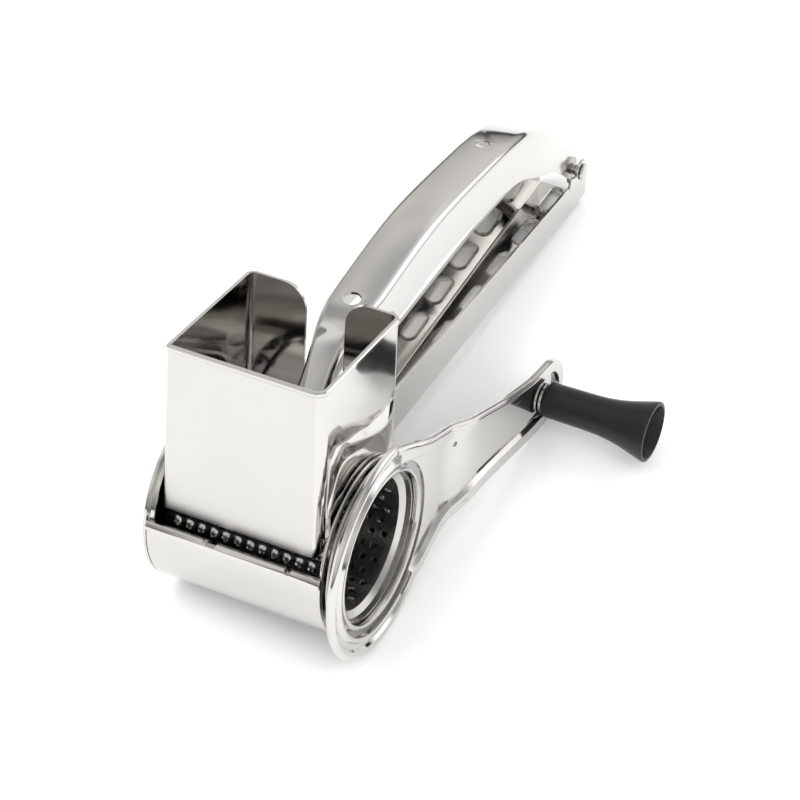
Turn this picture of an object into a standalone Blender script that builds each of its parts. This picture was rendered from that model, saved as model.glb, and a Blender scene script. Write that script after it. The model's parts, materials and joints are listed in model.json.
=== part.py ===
"""Rotary cheese grater: a sheet-steel hopper over a hand-cranked grating drum, squeezed by a hinged lever.

Everything is modelled in the grater's own frame, in metres: X runs along the drum towards the crank, Y runs
back along the handles and Z runs up the hopper, with the drum's axis at the origin. One parent empty then
leans that frame back and to the left, so that the grater stands on the table at Z = 0 on its crank ring, its
left end and its hinge.
"""

import math

import bmesh
import bpy
import numpy as np
from mathutils import Matrix, Vector

MM = 0.001

# Sheet and clearances
SHEET = 0.8 * MM
GAP = 0.3 * MM
RUNNING_GAP = 0.5 * MM

# Hopper
HOPPER_TOP_HALF_WIDTH = 22.2 * MM
HOPPER_BOTTOM_HALF_WIDTH = 23.2 * MM
HOPPER_FRONT = 20.2 * MM
HOPPER_BACK = 23.1 * MM
HOPPER_TOP = 56.4 * MM
HOPPER_BOTTOM = 6.0 * MM
HOPPER_REAR_CORNER = 2.4 * MM
HOPPER_LEFT_CORNER = 1.1 * MM
HOPPER_RIGHT_CORNER = 3.2 * MM
RIM_BEAD = 0.35 * MM
NOTCH_CENTRE = 0.8 * MM
NOTCH_HALF_WIDTH = 5.8 * MM
NOTCH_BOTTOM = 14.0 * MM
EAR_RADIUS = 7.0 * MM
# Where the bulge over the drum ends on the hopper's right wall: angle in degrees, distance in millimetres
ARCH_EDGE = (
    (18, 40.0), (60, 38.5), (68, 34.8), (80, 33.1), (99, 35.5),
    (110, 39.3), (114, 38.1), (117, 35.4), (122, 30.1),
)  # fmt: skip
ARCH_HEIGHT = 1.4 * MM

# Drum
DRUM_RADIUS = 19.7 * MM
DRUM_SHEET = 0.6 * MM
MOUTH_FACE = 31.0 * MM
MOUTH_BEAD_CENTRE = 21.9 * MM
MOUTH_BEAD = 0.75 * MM
HUB_RADIUS = 4.2 * MM
HUB_LENGTH = 3.4 * MM
AXLE_RADIUS = 2.4 * MM

# Cradle round the drum, and its two ends
CRADLE_RADIUS = 25.2 * MM
CRADLE_LEFT = 26.0 * MM
CRADLE_RIGHT = 26.3 * MM
LIP_ANGLE = math.radians(171)
HEM = 1.7 * MM
HEM_LENGTH = 2.4 * MM
STRAP_ANGLE = math.radians(-15)
STRAP_TOP = 13.0 * MM

# Crank
RING_RADIUS = 30.7 * MM
RING_FACE = 32.9 * MM
RING_DEPTH = 2.0 * MM
RING_HOLE = 24.4 * MM
CRANK_SHEET = 0.9 * MM
CRANK_ANGLE = math.radians(-2.24)
CRANK_LENGTH = 92.3 * MM
CRANK_TIP_RADIUS = 11.6 * MM
CRANK_TIP_DROP = 8.4 * MM
CRANK_STEP = 2.8 * MM
CRANK_OFFSET = 5.0 * MM
JOGGLE_START = 35.0 * MM
JOGGLE_END = 47.0 * MM
SLOPE_END = 82.0 * MM
RIM_HEIGHT = 1.3 * MM
RIM_WIDTH = 2.8 * MM

# Knob
KNOB_LENGTH = 33.0 * MM
KNOB_SMALL_RADIUS = 5.2 * MM
KNOB_END_RADIUS = 9.0 * MM
KNOB_BORE = 8.0 * MM
# How far along the knob its flare has grown, and by what share
KNOB_FLARE = (
    (0.28, 0.03), (0.44, 0.06), (0.54, 0.11), (0.65, 0.24), (0.76, 0.45), (0.86, 0.70), (0.94, 0.90),
)  # fmt: skip
SPINDLE_RADIUS = 2.0 * MM

# Handles
HINGE_Y = 181.0 * MM
HINGE_Z = 20.4 * MM
HINGE_PIN_RADIUS = 1.5 * MM
LUG_RADIUS = 4.0 * MM
LOWER_START_HALF_WIDTH = 4.0 * MM
LOWER_END_HALF_WIDTH = 8.1 * MM
LOWER_DEPTH_START = 17.3 * MM
LOWER_DEPTH_END = 10.3 * MM
LOWER_EDGE_START = 2.1 * MM
LOWER_EDGE_END = 19.6 * MM
LOWER_OFFSET = 0.6 * MM
LOWER_CORNER = 1.4 * MM
LOWER_LEFT_RISE = 1.2 * MM
LOWER_LEFT_CROWN = 3.2 * MM
SLOT_COUNT = 5
SLOT_FIRST = 103.5 * MM
SLOT_PITCH = 18.5 * MM
SLOT_LENGTH = 12.5 * MM
SLOT_WIDTH = 4.2 * MM
UPPER_HALF_WIDTH = 7.6 * MM
UPPER_FLAT_HALF_WIDTH = 4.8 * MM
UPPER_DEPTH = 14.5 * MM
NECK_HALF_WIDTH = 4.2 * MM
TONGUE_HALF_WIDTH = 5.8 * MM
PRESSER_LIFT = 0.8 * MM
NECK_ANGLE = math.radians(71.5)
NECK_LIFT = 2.34 * MM
HANG_HOLES = (0.21, 0.6613)
HANG_HOLE_RADIUS = 2.6 * MM
# The upper handle's top line in millimetres, drawn for a hinge this far back
SPINE_HINGE = 181.0 * MM
SPINE = (
    (16.2, 31.4), (23.2, 39.6), (30, 44.8), (42, 47.6), (59, 51.8), (74, 54.6), (90, 55.7),
    (106, 56.0), (122, 55.9), (136, 54.0), (147, 49.9), (157, 44.4), (167, 38.2), (176, 30.6),
)  # fmt: skip

STEPS = 48

STEEL = {"color": (0.72, 0.72, 0.70), "metallic": 1.0, "roughness": 0.14}
SATIN = {"color": (0.78, 0.78, 0.76), "metallic": 1.0, "roughness": 0.34}
BLACK = {"color": (0.028, 0.026, 0.028), "metallic": 0.0, "roughness": 0.38}


# ---------------------------------------------------------------- helpers


def clear_scene():
    for old in list(bpy.data.objects):
        bpy.data.objects.remove(old, do_unlink=True)


def material(name, look):
    made = bpy.data.materials.new(name)
    made.use_nodes = True
    shader = made.node_tree.nodes["Principled BSDF"]
    shader.inputs["Base Color"].default_value = (*look["color"], 1)
    shader.inputs["Metallic"].default_value = look["metallic"]
    shader.inputs["Roughness"].default_value = look["roughness"]
    return made


def add_object(name, mesh, frame, look=None, origin=(0, 0, 0)):
    """Links a mesh whose points are in the grater's frame, with the object's own origin at origin."""
    mesh.transform(Matrix.Translation(-Vector(origin)))
    obj = bpy.data.objects.new(name, mesh)
    bpy.context.collection.objects.link(obj)
    obj.parent = frame
    obj.location = origin
    if look:
        mesh.materials.append(material(name + "_finish", look))
    return obj


def solid_mesh(name, points, faces):
    """A closed mesh with its faces pointing out."""
    mesh = bpy.data.meshes.new(name)
    mesh.from_pydata([tuple(p) for p in points], [], faces)
    work = bmesh.new()
    work.from_mesh(mesh)
    bmesh.ops.remove_doubles(work, verts=work.verts, dist=1e-7)
    bmesh.ops.recalc_face_normals(work, faces=work.faces)
    work.to_mesh(mesh)
    work.free()
    mesh.shade_smooth()
    mesh.set_sharp_from_angle(angle=math.radians(35))
    return mesh


def loft_mesh(name, loops, closed=False):
    """Joins loops of equal count in order; closed joins the last to the first instead of capping the ends."""
    count = len(loops[0])
    points = [p for loop in loops for p in loop]
    faces = []
    spans = len(loops) if closed else len(loops) - 1
    for i in range(spans):
        a = i * count
        b = (i + 1) % len(loops) * count
        for j in range(count):
            k = (j + 1) % count
            faces.append((a + j, a + k, b + k, b + j))
    if not closed:
        faces.append(tuple(range(count)))
        faces.append(tuple(reversed(range(a + count, a + 2 * count))))
    return solid_mesh(name, points, faces)


def turned_mesh(name, outline, steps=STEPS, centre=(0, 0)):
    """Turns a closed (x, radius) outline round the X axis through centre, which is a (y, z) point."""
    loops = []
    for i in range(steps):
        angle = math.tau * i / steps
        c, s = math.cos(angle), math.sin(angle)
        loops.append([(x, centre[0] + r * c, centre[1] + r * s) for x, r in outline])
    return loft_mesh(name, loops, closed=True)


def rod_mesh(name, profile, steps=24, centre=(0, 0)):
    """Turns an open (x, radius) profile, whose two ends are closed by flat caps, round the X axis."""
    loops = []
    for x, r in profile:
        ring = [math.tau * i / steps for i in range(steps)]
        loops.append([(x, centre[0] + r * math.cos(a), centre[1] + r * math.sin(a)) for a in ring])
    return loft_mesh(name, loops)


def prism_mesh(name, outline, low, high, axis=0):
    """Extrudes a 2-D outline along one axis; the outline's two values are the other two axes in order."""
    loops = []
    for place in (low, high):
        loop = []
        for a, b in outline:
            point = [a, b]
            point.insert(axis, place)
            loop.append(tuple(point))
        loops.append(loop)
    return loft_mesh(name, loops)


def arc(centre, radius, start, end, steps):
    """Points on a circle from the start angle to the end angle."""
    turn = (end - start) / steps
    return [
        (centre[0] + radius * math.cos(start + turn * i), centre[1] + radius * math.sin(start + turn * i))
        for i in range(steps + 1)
    ]


def offset_path(path, distances):
    """Moves each point of an open 2-D path to its left by its own distance, with mitred corners."""
    moved = []
    for i, (x, y) in enumerate(path):
        before = Vector(path[max(i - 1, 0)])
        after = Vector(path[min(i + 1, len(path) - 1)])
        here = Vector((x, y))
        first = (here - before).normalized() if i > 0 else (after - here).normalized()
        second = (after - here).normalized() if i < len(path) - 1 else first
        normal = Vector((-first.y - second.y, first.x + second.x)).normalized()
        mitre = normal.dot(Vector((-first.y, first.x)))
        moved.append(tuple(here + normal * (distances[i] / mitre)))
    return moved


def strip(path, thickness):
    """The closed outline of a bent strip whose right-hand face follows the path."""
    widths = thickness if isinstance(thickness, list) else [thickness] * len(path)
    return list(path) + offset_path(path, widths)[::-1]


def is_closed(mesh):
    """True where every edge has exactly two faces."""
    work = bmesh.new()
    work.from_mesh(mesh)
    closed = bool(work.faces) and all(len(edge.link_faces) == 2 for edge in work.edges)
    work.free()
    return closed


def boolean(target, tool, operation="DIFFERENCE"):
    """Cuts or joins with a helper, which is removed.

    Where EXACT leaves an open mesh, MANIFOLD does the same work.
    """
    for solver in ("EXACT", "MANIFOLD"):
        modifier = target.modifiers.new(operation.title(), "BOOLEAN")
        modifier.operation = operation
        modifier.solver = solver
        modifier.object = tool
        bpy.context.view_layer.update()
        graph = bpy.context.evaluated_depsgraph_get()
        done = bpy.data.meshes.new_from_object(target.evaluated_get(graph))
        target.modifiers.remove(modifier)
        if is_closed(done):
            break
    old = target.data
    target.data = done
    bpy.data.meshes.remove(old)
    bpy.data.objects.remove(tool, do_unlink=True)
    target.data.set_sharp_from_angle(angle=math.radians(35))


def rounded_slot(centre, length, width, along, steps=6):
    """An obround outline in 2-D; along is 0 for a slot along the first axis and 1 along the second."""
    reach = (length - width) / 2
    points = arc((reach, 0), width / 2, -math.pi / 2, math.pi / 2, steps)
    points += arc((-reach, 0), width / 2, math.pi / 2, 3 * math.pi / 2, steps)
    if along == 1:
        points = [(-b, a) for a, b in points]
    return [(centre[0] + a, centre[1] + b) for a, b in points]


def catmull(points, per_span):
    """A smooth curve through 2-D points."""
    line = [Vector(p) for p in points]
    line = [2 * line[0] - line[1]] + line + [2 * line[-1] - line[-2]]
    smooth = []
    for i in range(1, len(line) - 2):
        a, b, c, d = line[i - 1 : i + 3]
        for step in range(per_span):
            t = step / per_span
            square = 2 * a - 5 * b + 4 * c - d
            cube = 3 * b - a - 3 * c + d
            smooth.append(0.5 * (2 * b + (c - a) * t + square * t**2 + cube * t**3))
    smooth.append(line[-2])
    return [tuple(p) for p in smooth]


def rivet_profile(start, end, shank, head, rise):
    """A riveted pin along X from start to end: a domed head at each end, outside those planes."""
    return [
        (start - rise, head * 0.45),
        (start - rise * 0.6, head * 0.85),
        (start, head),
        (start, shank),
        (end, shank),
        (end, head),
        (end + rise * 0.6, head * 0.85),
        (end + rise, head * 0.45),
    ]


# ---------------------------------------------------------------- hopper and cradle


def hopper_loop(z, outset):
    """The hopper wall's plan outline at one height, as an outer and an inner ring of points."""
    share = (HOPPER_TOP - z) / (HOPPER_TOP - HOPPER_BOTTOM)
    half = HOPPER_TOP_HALF_WIDTH + (HOPPER_BOTTOM_HALF_WIDTH - HOPPER_TOP_HALF_WIDTH) * share
    corners = (
        (half, HOPPER_BACK, 0, HOPPER_REAR_CORNER),
        (-half, HOPPER_BACK, math.pi / 2, HOPPER_REAR_CORNER),
        (-half, -HOPPER_FRONT, math.pi, HOPPER_LEFT_CORNER),
        (half, -HOPPER_FRONT, -math.pi / 2, HOPPER_RIGHT_CORNER),
    )
    rings = []
    for shift in (outset, -SHEET):
        ring = []
        for x, y, start, radius in corners:
            centre = (x - math.copysign(radius, x), y - math.copysign(radius, y))
            ring += arc(centre, radius + shift, start, start + math.pi / 2, 5)
        rings.append([(x, y, z) for x, y in ring])
    return rings


def build_hopper(frame):
    """One wrapped sheet, open above and below, with a notch at the back for the pusher's neck."""
    levels = [
        (HOPPER_BOTTOM, 0),
        (HOPPER_TOP - 1.5 * MM, 0),
        (HOPPER_TOP - 1.2 * MM, RIM_BEAD),
        (HOPPER_TOP - 0.3 * MM, RIM_BEAD),
        (HOPPER_TOP, 0),
    ]
    walls = [hopper_loop(z, outset) for z, outset in levels]
    loops = [outer for outer, inner in walls] + [inner for outer, inner in reversed(walls)]
    hopper = add_object("hopper", loft_mesh("hopper", loops, closed=True), frame, SATIN)

    notch = arc((NOTCH_CENTRE, NOTCH_BOTTOM + NOTCH_HALF_WIDTH), NOTCH_HALF_WIDTH, math.pi, math.tau, 8)
    side = NOTCH_CENTRE + NOTCH_HALF_WIDTH
    notch += arc((side + EAR_RADIUS, HOPPER_TOP - EAR_RADIUS), EAR_RADIUS, math.pi, math.pi / 2, 6)
    side = NOTCH_CENTRE - NOTCH_HALF_WIDTH
    notch += [(NOTCH_CENTRE + NOTCH_HALF_WIDTH + EAR_RADIUS, HOPPER_TOP + 2 * MM)]
    notch += [(side - EAR_RADIUS, HOPPER_TOP + 2 * MM)]
    notch += arc((side - EAR_RADIUS, HOPPER_TOP - EAR_RADIUS), EAR_RADIUS, math.pi / 2, 0, 6)
    cutter = prism_mesh("notch", notch, HOPPER_BACK - 2 * MM, HOPPER_BACK + 2 * MM, axis=1)
    boolean(hopper, add_object("notch", cutter, frame))

    boolean(hopper, add_object("arch", side_arch_mesh(), frame), "UNION")

    reach = HOPPER_BOTTOM_HALF_WIDTH + ARCH_HEIGHT + 5 * MM
    bore = DRUM_RADIUS + RUNNING_GAP
    drum_way = rod_mesh("drum_way", [(-reach, bore), (reach, bore)], steps=STEPS)
    boolean(hopper, add_object("drum_way", drum_way, frame))
    return hopper


def arch_edge(angle):
    """Radius at which the bulge round the drum leaves the flat of the right wall."""
    degrees, radii = zip(*ARCH_EDGE)
    return float(np.interp(math.degrees(angle), degrees, radii)) * MM


def side_arch_mesh():
    """The stepped bulge pressed out of the right wall round the drum, trimmed to the wall."""
    wall = HOPPER_BOTTOM_HALF_WIDTH - 0.15 * MM
    inside = wall - SHEET * 0.6
    crest = HOPPER_BOTTOM_HALF_WIDTH + ARCH_HEIGHT
    start, end = math.radians(18), math.radians(146)
    loops = []
    steps = 28
    for i in range(steps + 1):
        angle = start + (end - start) * i / steps
        c, s = math.cos(angle), math.sin(angle)
        edge = (HOPPER_BACK - HOPPER_REAR_CORNER) / c if c > 0 else (HOPPER_RIGHT_CORNER - HOPPER_FRONT) / c
        outer = min(arch_edge(angle), abs(edge))
        inner = DRUM_RADIUS - SHEET
        width = outer - inner
        rise = crest - wall
        section = [
            (inside, inner),
            (inside, outer),
            (wall, outer),
            (wall + rise * 0.5, inner + width * 0.84),
            (wall + rise * 0.72, inner + width * 0.66),
            (wall + rise * 0.78, inner + width * 0.5),
            (crest, inner + width * 0.38),
            (crest, inner),
        ]
        loops.append([(x, r * c, r * s) for x, r in section])
    return loft_mesh("arch", loops)


def build_cradle(frame):
    """The sheet that wraps the drum from the front lip, under it and up the hopper's back."""
    inner = CRADLE_RADIUS - SHEET
    hem_angle = HEM_LENGTH / CRADLE_RADIUS
    path = arc((0, 0), inner, LIP_ANGLE, LIP_ANGLE + hem_angle, 2)
    widths = [HEM * 0.7, HEM, HEM]
    turn = math.tau + STRAP_ANGLE - LIP_ANGLE - hem_angle
    path += arc((0, 0), inner, LIP_ANGLE + hem_angle * 1.15, LIP_ANGLE + hem_angle + turn, 26)
    widths += [SHEET] * 27
    strap = HOPPER_BACK + GAP
    path += [(strap, HOPPER_BOTTOM * 0.7), (strap, STRAP_TOP)]
    widths += [SHEET] * 2
    outline = path + offset_path(path, [-w for w in widths])[::-1]
    low = -CRADLE_LEFT + SHEET + GAP
    cradle = add_object("cradle", prism_mesh("cradle", outline, low, CRADLE_RIGHT), frame, STEEL)
    strap_bottom = CRADLE_RADIUS * math.sin(STRAP_ANGLE)
    for side in (-1, 1):
        ends = sorted((side * (HOPPER_BOTTOM_HALF_WIDTH - GAP), side * (CRADLE_RIGHT + 1 * MM)))
        top = STRAP_TOP + 1 * MM
        box = [(ends[0], strap_bottom), (ends[1], strap_bottom), (ends[1], top), (ends[0], top)]
        relief = prism_mesh("relief", box, CRADLE_RADIUS * 0.5, CRADLE_RADIUS + 2 * MM, axis=1)
        boolean(cradle, add_object("relief", relief, frame))
    lip_z = CRADLE_RADIUS * math.sin(LIP_ANGLE)
    for place, width in ((-5.7 * MM, 4.6 * MM), (17.0 * MM, 1.8 * MM)):
        notch = rounded_slot((place, lip_z), 2.6 * MM, width, 1, steps=3)
        cutter = prism_mesh("lip_notch", notch, -CRADLE_RADIUS - 3 * MM, -HOPPER_FRONT - 2 * MM, axis=1)
        boolean(cradle, add_object("lip_notch", cutter, frame))
    return cradle


def build_end_plate(frame):
    """The round plate that closes the left end, with a flange inside the cradle and a hole for the axle."""
    face = -CRADLE_LEFT
    flange = CRADLE_RADIUS - SHEET - GAP
    hole = AXLE_RADIUS + GAP
    end = -HOPPER_BOTTOM_HALF_WIDTH - GAP
    outline = [
        (face, hole),
        (face - 0.6 * MM, hole + 3 * MM),
        (face - 0.6 * MM, flange - 4 * MM),
        (face, flange - 2 * MM),
        (face, CRADLE_RADIUS),
        (face + SHEET, CRADLE_RADIUS),
        (face + SHEET, flange),
        (end, flange),
        (end, flange - SHEET),
        (face + SHEET, flange - SHEET),
        (face + SHEET - 0.6 * MM, flange - 4 * MM - SHEET),
        (face + SHEET - 0.6 * MM, hole + 3 * MM),
        (face + SHEET, hole),
    ]
    return add_object("end_plate", turned_mesh("end_plate", outline), frame, STEEL)


def build_collar(frame):
    """The beaded ring in the cradle's right end that the open end of the drum turns in."""
    start = HOPPER_BOTTOM_HALF_WIDTH + ARCH_HEIGHT + GAP
    bore = DRUM_RADIUS + RUNNING_GAP
    outer = CRADLE_RADIUS - SHEET - GAP
    end = CRADLE_RIGHT - GAP
    middle = (start + end) / 2
    outline = [
        (start, bore),
        (start, outer - 0.3 * MM),
        (start + 0.2 * MM, outer),
        (middle - 0.15 * MM, outer),
        (middle, outer - 0.5 * MM),
        (middle + 0.15 * MM, outer),
        (end - 0.3 * MM, outer),
        (end, outer - 0.7 * MM),
        (end, bore),
    ]
    return add_object("bearing_collar", turned_mesh("bearing_collar", outline), frame, STEEL)


def build_axle(frame):
    """The stud riveted into the end plate that carries the drum's closed end, and its washer."""
    face = -CRADLE_LEFT - 0.6 * MM
    inside = -CRADLE_LEFT + SHEET
    washer_end = inside + GAP + 0.6 * MM
    tip = washer_end + GAP + HUB_LENGTH + 1.2 * MM
    profile = [
        (face - GAP - 1.1 * MM, 1.8 * MM),
        (face - GAP - 0.8 * MM, 3.4 * MM),
        (face - GAP, 4.2 * MM),
        (face - GAP, AXLE_RADIUS),
        (tip - 0.6 * MM, AXLE_RADIUS),
        (tip, AXLE_RADIUS - 0.6 * MM),
    ]
    stud = add_object("axle_stud", rod_mesh("axle_stud", profile), frame, STEEL)
    ring = [
        (inside + GAP, AXLE_RADIUS + GAP),
        (inside + GAP, 4.4 * MM),
        (washer_end, 4.4 * MM),
        (washer_end, AXLE_RADIUS + GAP),
    ]
    washer = add_object("axle_washer", turned_mesh("axle_washer", ring, 24), frame, STEEL)
    return stud, washer


# ---------------------------------------------------------------- drum and crank


def build_drum(frame):
    """The drum: tube, closed end with its hub, the cone behind the crank ring and the rolled mouth."""
    washer_end = -CRADLE_LEFT + SHEET + GAP + 0.6 * MM
    left = washer_end + GAP
    outer = DRUM_RADIUS
    inner = DRUM_RADIUS - DRUM_SHEET
    neck = CRADLE_RIGHT + 0.4 * MM
    cap_face = left + HUB_LENGTH - 0.6 * MM

    flare = (neck + 1.4 * MM, outer + 1.3 * MM)
    mouth_end = (MOUTH_FACE - 1.3 * MM, outer + 1.5 * MM)
    sheet = [(cap_face, outer), (neck, outer), flare, mouth_end]
    back = [(x, r - DRUM_SHEET) for x, r in reversed(sheet)]
    tube = add_object("drum_tube", turned_mesh("drum_tube", sheet + back), frame, STEEL)

    cap_rim = inner - GAP
    flange = 2.2 * MM
    hub_hole = HUB_RADIUS + GAP
    cap = [
        (cap_face, hub_hole),
        (cap_face, cap_rim),
        (cap_face + flange, cap_rim),
        (cap_face + flange, cap_rim - DRUM_SHEET),
        (cap_face + DRUM_SHEET, cap_rim - DRUM_SHEET),
        (cap_face + DRUM_SHEET, hub_hole),
    ]
    end_cap = add_object("drum_end_cap", turned_mesh("drum_end_cap", cap), frame, STEEL)

    bore = AXLE_RADIUS + GAP
    collar = cap_face + DRUM_SHEET + GAP
    hub_outline = [
        (left, bore),
        (left, HUB_RADIUS),
        (collar, HUB_RADIUS),
        (collar, HUB_RADIUS + 1.6 * MM),
        (collar + 0.9 * MM, HUB_RADIUS + 1.6 * MM),
        (collar + 0.9 * MM, bore),
    ]
    hub = add_object("drum_hub", turned_mesh("drum_hub", hub_outline, 24), frame, STEEL)

    cone_start = neck + 0.2 * MM
    cone = [
        (cone_start, outer + GAP),
        (cone_start, RING_HOLE - 1.0 * MM),
        (RING_FACE - 2.6 * MM, RING_RADIUS - 2.4 * MM),
    ]
    cone += [(RING_FACE - 2.0 * MM, RING_RADIUS - 3.0 * MM), (cone_start + DRUM_SHEET, RING_HOLE - 1.5 * MM)]
    cone += [(cone_start + DRUM_SHEET, outer + 1.3 * MM)]
    cone += [(cone_start + DRUM_SHEET * 0.5, outer + 0.7 * MM)]
    flange_ring = add_object("drum_flange", turned_mesh("drum_flange", cone), frame, STEEL)

    bead = arc((MOUTH_FACE, MOUTH_BEAD_CENTRE), MOUTH_BEAD, 0, math.tau * 7 / 8, 7)
    mouth = add_object("drum_mouth_bead", turned_mesh("drum_mouth_bead", bead), frame, STEEL)
    return tube, end_cap, hub, flange_ring, mouth


def crank_tip():
    return arm_point(CRANK_LENGTH, 0)


def arm_stations():
    """Stations along the arm, from inside the ring to its round tip: distance, upper edge and lower edge."""
    edges = [
        (4.0, 28.2, -22.0), (10.0, 26.2, -21.8), (16.0, 24.0, -21.4), (22.0, 22.0, -20.0), (27.0, 20.8, -17.3),
        (32.5, 19.5, -14.3), (37.0, 18.6, -12.6), (42.0, 17.9, -10.7), (52.0, 16.1, -9.0), (64.0, 13.7, -8.5),
        (76.0, 12.1, -8.3),
    ]  # fmt: skip
    edges = [(a * MM, upper * MM, lower * MM) for a, upper, lower in edges]
    edges.append((CRANK_LENGTH - 8 * MM, CRANK_TIP_RADIUS, -CRANK_TIP_DROP))
    edges.append((CRANK_LENGTH, CRANK_TIP_RADIUS, -CRANK_TIP_DROP))
    stations = [tuple(station) for station in catmull(edges, 2)]
    for step in range(1, 9):
        angle = math.radians(10.5 * step)
        reach = CRANK_LENGTH + CRANK_TIP_RADIUS * math.sin(angle)
        stations.append((reach, CRANK_TIP_RADIUS * math.cos(angle), -CRANK_TIP_DROP * math.cos(angle)))
    return stations


def arm_offset(a):
    """How far the arm stands out in X at one distance from the drum's axis: a step, then a gentle slope."""
    step = min(max((a - JOGGLE_START) / (JOGGLE_END - JOGGLE_START), 0), 1)
    slope = min(max((a - JOGGLE_END) / (SLOPE_END - JOGGLE_END), 0), 1)
    return CRANK_STEP * step * step * (3 - 2 * step) + (CRANK_OFFSET - CRANK_STEP) * slope


def arm_point(a, b):
    """The (y, z) place of a point a along the arm and b above its centre line."""
    c, s = math.cos(CRANK_ANGLE), math.sin(CRANK_ANGLE)
    return (a * c - b * s, a * s + b * c)


def arm_body(name, low, high, inset, draft):
    """A loft along the arm between two heights above its back, narrower than its outline by inset and draft."""
    loops = []
    shrink = 1 - inset / CRANK_TIP_RADIUS
    for a, upper, lower in arm_stations():
        if a > CRANK_LENGTH:
            a = CRANK_LENGTH + (a - CRANK_LENGTH) * shrink
            upper, lower = upper * shrink, lower * (1 - inset / CRANK_TIP_DROP)
        else:
            upper, lower = upper - inset, lower + inset
        slope = min(draft, (upper - lower) * 0.2)
        x = RING_FACE - RING_DEPTH + arm_offset(a)
        section = [(x + low, upper - slope), (x + high, upper), (x + high, lower), (x + low, lower + slope)]
        loops.append([(x, *arm_point(a, b)) for x, b in section])
    return loft_mesh(name, loops)


def arm_shoulder():
    """What lies above the arm's upper edge where the ring's bead runs out into it."""
    edge = [(a, upper + 0.15 * MM) for a, upper, lower in arm_stations() if a < 38 * MM]
    outline = [arm_point(a, b) for a, b in edge]
    outline += [arm_point(edge[-1][0], 45 * MM), arm_point(edge[0][0], 45 * MM)]
    return prism_mesh("shoulder", outline, RING_FACE - 8 * MM, RING_FACE + 8 * MM)


def build_crank_plate(frame):
    """One pressing: a beaded ring round the drum's mouth and a dished arm with a raised rim."""
    face = RING_FACE
    rear = face - RING_DEPTH
    ring = [
        (rear, RING_HOLE),
        (face - 0.5 * MM, RING_HOLE),
        (face - 0.3 * MM, RING_HOLE + 0.9 * MM),
        (face - 1.15 * MM, RING_HOLE + 1.8 * MM),
        (face - 1.15 * MM, RING_RADIUS - 3.1 * MM),
        (face - 0.3 * MM, RING_RADIUS - 2.5 * MM),
        (face, RING_RADIUS - 1.6 * MM),
        (face - 0.3 * MM, RING_RADIUS - 0.7 * MM),
        (face - 0.9 * MM, RING_RADIUS - 0.1 * MM),
        (face - 1.4 * MM, RING_RADIUS),
        (face - 2.1 * MM, RING_RADIUS - 0.4 * MM),
        (face - 2.4 * MM, RING_RADIUS - 1.2 * MM),
        (rear, RING_RADIUS - 1.8 * MM),
    ]
    plate = add_object("crank_plate", turned_mesh("crank_plate", ring, 64), frame, STEEL)

    top = CRANK_SHEET + RIM_HEIGHT
    arm = add_object("arm", arm_body("arm", 0.05 * MM, top, 0, 0.2 * MM), frame)
    bore = RING_HOLE + 0.4 * MM
    ring_way = rod_mesh("ring_way", [(rear - 5 * MM, bore), (face + 5 * MM, bore)], 64)
    boolean(arm, add_object("ring_way", ring_way, frame))
    boolean(plate, arm, "UNION")
    pan = arm_body("pan", CRANK_SHEET, top + 1 * MM, RIM_WIDTH, 1.4 * MM)
    boolean(plate, add_object("pan", pan, frame))
    boolean(plate, add_object("shoulder", arm_shoulder(), frame))

    for name, radius, steps, place in (
        ("spindle_hole", SPINDLE_RADIUS + GAP, 24, crank_tip()),
        ("arm_hole", 0.8 * MM, 12, arm_point(39.7 * MM, 11.3 * MM)),
    ):
        hole = rod_mesh(name, [(rear - 2 * MM, radius), (face + 9 * MM, radius)], steps, place)
        boolean(plate, add_object(name, hole, frame))
    return plate


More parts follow.
